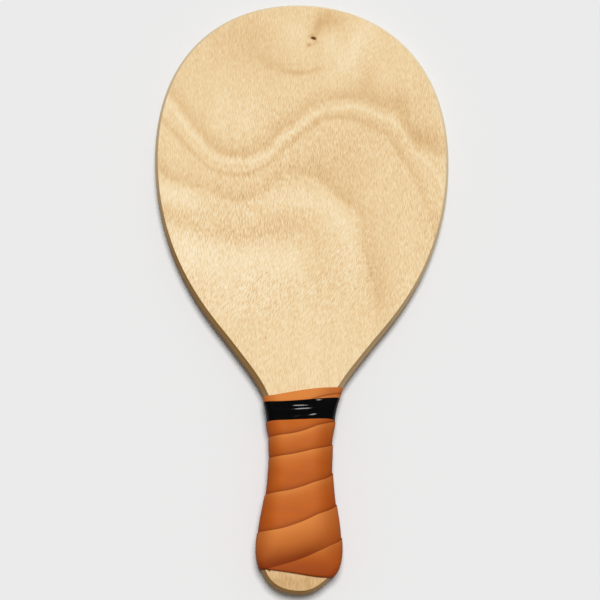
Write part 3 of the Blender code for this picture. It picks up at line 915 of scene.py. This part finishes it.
def makeWinding(material):
    first, last = winding["turns"]
    steps = int((last - first) * winding["stepsPerTurn"])
    rows = winding["rows"]
    strip = bmesh.new()
    for name in stripMarks:
        strip.verts.layers.float.new(name)
    shade, glow, paintedShade = (strip.verts.layers.float[name] for name in stripMarks)
    weight = strip.verts.layers.deform.verify()
    grid = bmesh.ops.create_grid(strip, x_segments=steps, y_segments=len(rows) - 1, size=0.5)
    for vert in grid["verts"]:
        turn = first + (last - first) * (vert.co.x + 0.5)
        share = turn % 1.0
        row = rows[round((0.5 - vert.co.y) * (len(rows) - 1))]
        butt = roundLine(winding["butt"], share)
        crease, narrowest = creaseAt(turn), winding["narrowest"]
        top = max(min(crease, roundLine(winding["top"], share)), butt + narrowest)
        low = max(creaseAt(turn + 1.0) - winding["lap"], butt)
        station = top + (min(low, top - narrowest) - top) * row
        vert.co = onHandle(station * mm, share, windingHeight(turn, share, station) * mm)
        vert.co.x -= sandedCorner(vert.co.y, vert.co.x)
        vert.co.x -= squeezed(vert.co.x, station)
        # painted shade and highlight by the creases, and painted shade on the sides
        vert[shade], vert[glow] = windingShade(turn, station)
        vert[paintedShade] = sideShade(station, vert.co.x)
        lapped = turn > winding["thinFrom"]
        body = winding["half"] * (riseFrom(crease - station, 0.0, winding["thinEdge"]) if lapped else 1.0)
        vert[weight][0] = max(body, fallTo(station - butt, *winding["glued"]))
    faceOutward(strip)
    obj = asObject("gripWinding", strip, material, 180.0)
    obj.vertex_groups.new(name="body")
    wall = addWall(obj, "padding", winding["thickness"])
    wall.vertex_group = "body"
    wall.thickness_vertex_group = winding["thinnest"]
    return obj


# the last three colours are painted: highlight on the lip, shade in the creases, shade over the butt end and sides
gripColours = {
    "plain": fromScreen(189, 94, 29), "warm": fromScreen(199, 103, 37), "lip": fromScreen(223, 136, 65),
    "crease": fromScreen(116, 43, 7), "paintedShade": fromScreen(138, 50, 9),
}
gripLook = {
    # painted shade over the butt end and on the sides: stretch from the butt, amounts
    "shadedEnd": (buttY + 0.034, buttY + 0.010), "endShade": 0.75, "paintedSideShade": 0.42,
    "roughness": (0.46, 0.56), "specular": 0.045, "bump": (0.10, 0.4 * mm),
}


def gripMaterial():
    material, tree, shader, coords = newMaterial("tanGripStrip")
    crease, lip, sides = (
        addNode(tree, "ShaderNodeAttribute", attribute_name=name).outputs["Fac"] for name in stripMarks
    )
    cloud = noiseOf(tree, coords, 38.0, 3.0, 0.55)
    smear = noiseOf(tree, coords, 70.0, 2.0, 0.5, (0.5, 2.4, 1.0), (0.0, 0.0, math.radians(-14.0)))
    share = calc(tree, "MULTIPLY_ADD", smear, 0.45, calc(tree, "MULTIPLY", cloud, 0.55))
    colour = mixColour(tree, remap(tree, share, 0.35, 0.65, 0.0, 1.0), gripColours["plain"], gripColours["warm"])
    # painted highlight below the creases, then painted shade in and above them
    colour = mixColour(tree, lip, colour, gripColours["lip"])
    colour = mixColour(tree, crease, colour, gripColours["crease"])
    # painted shade over the butt end, which slopes away from the light, and on the sides
    along = addNode(tree, "ShaderNodeSeparateXYZ", {"Vector": coords}).outputs[1]
    paintedShade = remap(tree, along, *gripLook["shadedEnd"], 0.0, gripLook["endShade"], True)
    paintedShade = calc(tree, "MAXIMUM", paintedShade, calc(tree, "MULTIPLY", sides, gripLook["paintedSideShade"]))
    colour = mixColour(tree, paintedShade, colour, gripColours["paintedShade"])
    cells = addNode(tree, "ShaderNodeTexVoronoi", {"Vector": coords, "Scale": 1500.0}, feature="SMOOTH_F1")
    soft = noiseOf(tree, coords, 220.0, 3.0)
    pebble = calc(tree, "MULTIPLY", cells.outputs["Distance"], 0.35)
    relief = calc(tree, "MULTIPLY_ADD", soft, 1.4, pebble)
    finishSurface(tree, shader, gripLook, colour, smear, relief=relief)
    return material


grip = asPiece(makeWinding(gripMaterial()), "grip_tape")
print("winding made,", len(grip.data.polygons), "faces")


# black tape over the top of the winding

tape = {
    "thickness": 0.25 * mm, "clearance": 0.05, "around": 180, "across": 110,
    # wrinkles: millimetres from the middle, station, half length, half width, height, slope
    "wrinkles": [(0.0, 130.3, 8.5, 0.95, 0.25, 0.03), (1.5, 128.0, 8.5, 0.85, 0.25, 0.09),
                 (9.0, 124.0, 4.5, 1.0, 0.30, 0.17), (-2.5, 122.4, 6.5, 0.9, 0.17, 0.10),
                 (12.8, 134.6, 2.0, 0.6, 0.20, 0.10), (-14.0, 128.0, 8.0, 1.2, 0.08, 0.0)],
    # a faint unevenness: height, and two waves round and across
    "uneven": 0.02, "waves": ((97.0, 5.0), (41.0, -3.0)),
    "colours": ((0.0002, 0.0002, 0.0003), (0.0007, 0.0007, 0.0008)),
    "roughness": (0.11, 0.15), "specular": 0.17, "bump": (0.12, 0.5 * mm),
}


def makeTape(material):
    shape = bmesh.new()
    grid = bmesh.ops.create_grid(shape, x_segments=tape["around"], y_segments=tape["across"], size=0.5)
    for vert in grid["verts"]:
        share = vert.co.x + 0.5
        up = vert.co.y + 0.5
        low, top = roundLine(band["low"], share), roundLine(band["top"], share)
        station = low + (top - low) * up
        height = pressedLevel(up) + tape["thickness"] / mm + tape["clearance"]
        across = onHandle(station * mm, share, 0.0).x / mm
        if 0.0 < share < 0.5:
            for middle, level, length, width, rise, slope in tape["wrinkles"]:
                off = (station - level - slope * (across - middle)) / width
                height += rise * math.exp(-off * off - ((across - middle) / length) ** 2)
        first, second = (math.sin(share * around + up * over) for around, over in tape["waves"])
        vert.co = onHandle(station * mm, share, (height + tape["uneven"] * first * second) * mm)
    bmesh.ops.remove_doubles(shape, verts=shape.verts, dist=1e-6)
    faceOutward(shape)
    shape.faces.index_update()
    cutRows = {f.index for e in shape.edges if e.is_boundary for f in e.link_faces}
    obj = asObject("blackTape", shape, material, 180.0)
    # the cut edges of the tape stay crisp
    for i in cutRows:
        obj.data.polygons[i].use_smooth = False
    addWall(obj, "vinyl", tape["thickness"])
    return obj


def tapeMaterial():
    material, tree, shader, coords = newMaterial("blackVinyl")
    smudge = noiseOf(tree, coords, 160.0, 3.0, 0.6)
    ripple = noiseOf(tree, coords, 130.0, 2.0, 0.5, (0.6, 1.6, 1.0))
    finishSurface(tree, shader, tape, mixColour(tree, smudge, *tape["colours"]), smudge, relief=ripple)
    return material


asPiece(makeTape(tapeMaterial()), "finishing_tape")
print("tape made")


# cheeks, hidden under the winding

cheek = {
    "deep": fromScreen(176, 134, 88), "pale": fromScreen(214, 178, 130), "roughness": (0.8, 0.65), "specular": 0.5,
}


def cheekMaterial():
    material, tree, shader, coords = newMaterial("rawCheekWood")
    grain = noiseOf(tree, coords, 300.0, 3.0, 0.6, (1.0, 0.08, 1.0))
    finishSurface(tree, shader, cheek, mixColour(tree, grain, cheek["deep"], cheek["pale"]), grain)
    return material


cheekWood = cheekMaterial()
for node in ("front_handle_cheek", "back_handle_cheek"):
    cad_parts[node].material_slots[0].material = cheekWood
print("cheeks finished")


# floor, light and camera

stageSet = {
    "roll": 0.012, "pitch": 0.0185, "hinge": -0.18, "lift": 0.0004, "size": 30.0,
    # grey of the floor and backdrop as seen, and of the light the floor throws back
    "grey": 0.835, "bounce": 0.62,
}
lamps = {"sky": 0.19, "sunStrength": 2.553, "sunFrom": (0.0, 0.13, 1.0), "sunAngle": 21.0}
lens = {
    "place": (-0.060, -0.36345, 1.14757), "aim": (-0.0011, -0.0126, 0.0), "roll": 0.45,
    "length": 101.28, "sensor": 36.0,
}


def makeFloor():
    # the paddle rests on its round grip and on its tip, a little over to the right, so the floor tilts against it
    shape = bmesh.new()
    bmesh.ops.create_grid(shape, x_segments=1, y_segments=1, size=stageSet["size"])
    for vert in shape.verts:
        tilt = stageSet["roll"] * vert.co.x + stageSet["pitch"] * (vert.co.y - stageSet["hinge"])
        vert.co.z = tilt + stageSet["lift"]
    material, tree, shader, _ = newMaterial("paleFloor")
    seen = addNode(tree, "ShaderNodeLightPath").outputs["Is Camera Ray"]
    colour = mixColour(tree, seen, (stageSet["bounce"],) * 3, (stageSet["grey"],) * 3)
    tree.links.new(colour, shader.inputs["Base Color"])
    shader.inputs["Roughness"].default_value = 1.0
    shader.inputs["Specular IOR Level"].default_value = 0.0
    asObject("paleFloor", shape, material)


def makeLight():
    world = bpy.data.worlds.new("studio")
    scene.world = world
    world.use_nodes = True
    tree = world.node_tree
    backdrop = tree.nodes["Background"]
    seen = addNode(tree, "ShaderNodeLightPath").outputs["Is Camera Ray"]
    tree.links.new(remap(tree, seen, 0.0, 1.0, lamps["sky"], stageSet["grey"]), backdrop.inputs["Strength"])
    backdrop.inputs["Color"].default_value = (1.0, 1.0, 1.0, 1.0)
    sun = bpy.data.lights.new("softKey", "SUN")
    sun.energy = lamps["sunStrength"]
    sun.angle = math.radians(lamps["sunAngle"])
    lamp = bpy.data.objects.new("softKey", sun)
    lamp.rotation_mode = "QUATERNION"
    lamp.rotation_quaternion = Vector(lamps["sunFrom"]).to_track_quat("Z", "Y")
    scene.collection.objects.link(lamp)


def makeCamera():
    camera = bpy.data.cameras.new("camera")
    camera.sensor_width = lens["sensor"]
    camera.lens = lens["length"]
    obj = bpy.data.objects.new("camera", camera)
    lift = Vector((0.0, 0.0, faceHeight))
    obj.location = Vector(lens["place"]) + lift
    back = (Vector(lens["place"]) - Vector(lens["aim"])).normalized()
    right = Vector((0.0, 1.0, 0.0)).cross(back).normalized()
    facing = Matrix((right, back.cross(right), back)).transposed().to_quaternion()
    obj.rotation_mode = "QUATERNION"
    obj.rotation_quaternion = facing @ Quaternion((0.0, 0.0, 1.0), math.radians(lens["roll"]))
    scene.collection.objects.link(obj)
    scene.camera = obj


makeFloor()
makeLight()
makeCamera()
print("floor, light and camera set")
